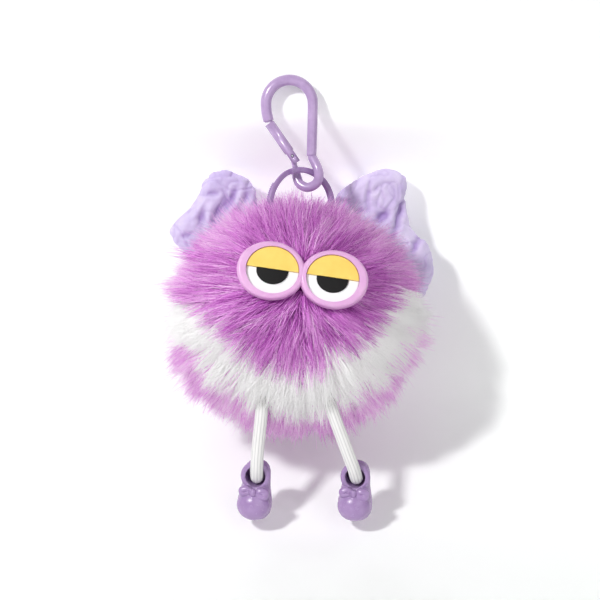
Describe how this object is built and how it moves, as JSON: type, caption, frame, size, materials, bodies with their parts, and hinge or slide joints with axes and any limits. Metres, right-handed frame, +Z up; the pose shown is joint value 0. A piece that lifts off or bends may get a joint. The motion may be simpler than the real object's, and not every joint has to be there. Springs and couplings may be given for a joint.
{
  "type": "fur ball bag charm",
  "caption": "Round long-pile fur ball bag charm with a sleepy two-eye plate, padded cloth wings and cord legs in moulded shoes, hung from a split ring and a spring-gate snap hook.",
  "frame": {"origin": "inside top of the snap hook's bend, where a strap bears, in the plane of the hook", "axes": "+Z up along the hanging charm, the face looks towards -Y, +X to the right of someone looking at the face"},
  "size_m": [0.1121, 0.0768, 0.186],
  "materials": {
    "lilac_lacquer": "glossy lilac lacquer over metal wire",
    "bright_steel": "bare steel",
    "lilac_webbing": "woven webbing",
    "orchid_fur": "long silky orchid pile",
    "white_fur": "long silky white pile",
    "white_stuffing": "polyester filling",
    "pink_vinyl": "satin moulded vinyl",
    "white_vinyl": "satin moulded vinyl",
    "yellow_vinyl": "satin moulded vinyl",
    "black_vinyl": "satin moulded vinyl",
    "lavender_cloth": "crinkled padded cloth",
    "white_cord": "braided elastic cord",
    "violet_vinyl": "glossy moulded vinyl"
  },
  "bodies": {
    "snap_hook": {"carabiner_hook": "lilac_lacquer", "gate_pivot_pin": "bright_steel"},
    "gate": {"carabiner_gate": "lilac_lacquer", "gate_spring": "bright_steel", "gate_plunger": "bright_steel"},
    "ring": {"split_ring": "lilac_lacquer"},
    "ball": {"hanging_tab": "lilac_webbing", "stuffing_core": "white_stuffing", "face_fur_panel": "orchid_fur", "white_fur_band": "white_fur", "lower_fur_panel": "orchid_fur", "back_fur_panel": "orchid_fur", "eye_surround": "pink_vinyl", "left_eye_white": "white_vinyl", "right_eye_white": "white_vinyl", "left_eyelid": "yellow_vinyl", "right_eyelid": "yellow_vinyl", "left_pupil": "black_vinyl", "right_pupil": "black_vinyl", "left_eye_washer": "white_vinyl", "right_eye_washer": "white_vinyl"},
    "left_wing": {"left_wing": "lavender_cloth"},
    "right_wing": {"right_wing": "lavender_cloth"},
    "left_leg": {"left_leg_cord": "white_cord"},
    "right_leg": {"right_leg_cord": "white_cord"},
    "left_foot": {"left_shoe": "violet_vinyl", "left_leg_knot": "white_cord"},
    "right_foot": {"right_shoe": "violet_vinyl", "right_leg_knot": "white_cord"}
  },
  "joints": [
    {"name": "gate_hinge", "type": "hinge", "parent": "snap_hook", "child": "gate", "pos_m": [0.00122, 0, -0.0299], "axis": [0, 1, 0], "range_deg": [0, 38], "stiffness_Nm_per_rad": 0.02},
    {"name": "ring_swing", "type": "hinge", "parent": "snap_hook", "child": "ring", "pos_m": [0.00717, -0.00002, -0.0359], "axis": [0.8829, 0.4695, 0], "range_deg": [-30, 30]},
    {"name": "ball_swing", "type": "hinge", "parent": "ring", "child": "ball", "pos_m": [0.00487, -0.00124, -0.0649], "axis": [0.8829, 0.4695, 0], "range_deg": [-25, 25]},
    {"name": "left_wing_flap", "type": "hinge", "parent": "ball", "child": "left_wing", "pos_m": [-0.0115, 0.027, -0.065], "axis": [0, 0, 1], "range_deg": [-35, 0], "stiffness_Nm_per_rad": 0.01},
    {"name": "right_wing_flap", "type": "hinge", "parent": "ball", "child": "right_wing", "pos_m": [0.0165, 0.027, -0.065], "axis": [0, 0, 1], "range_deg": [0, 35], "stiffness_Nm_per_rad": 0.01},
    {"name": "left_leg_swing", "type": "hinge", "parent": "ball", "child": "left_leg", "pos_m": [-0.0108, -0.0168, -0.1244], "axis": [0, 1, 0], "range_deg": [-8, 30]},
    {"name": "right_leg_swing", "type": "hinge", "parent": "ball", "child": "right_leg", "pos_m": [0.0146, -0.0168, -0.1244], "axis": [0, 1, 0], "range_deg": [-12, 24]},
    {"name": "left_foot_nod", "type": "hinge", "parent": "left_leg", "child": "left_foot", "pos_m": [-0.0134, -0.0166, -0.1636], "axis": [1, 0, 0], "range_deg": [-35, 5], "deforming": ["left_leg_cord"]},
    {"name": "right_foot_nod", "type": "hinge", "parent": "right_leg", "child": "right_foot", "pos_m": [0.0278, -0.0166, -0.164], "axis": [1, 0, 0], "range_deg": [-35, 5], "deforming": ["right_leg_cord"]}
  ]
}
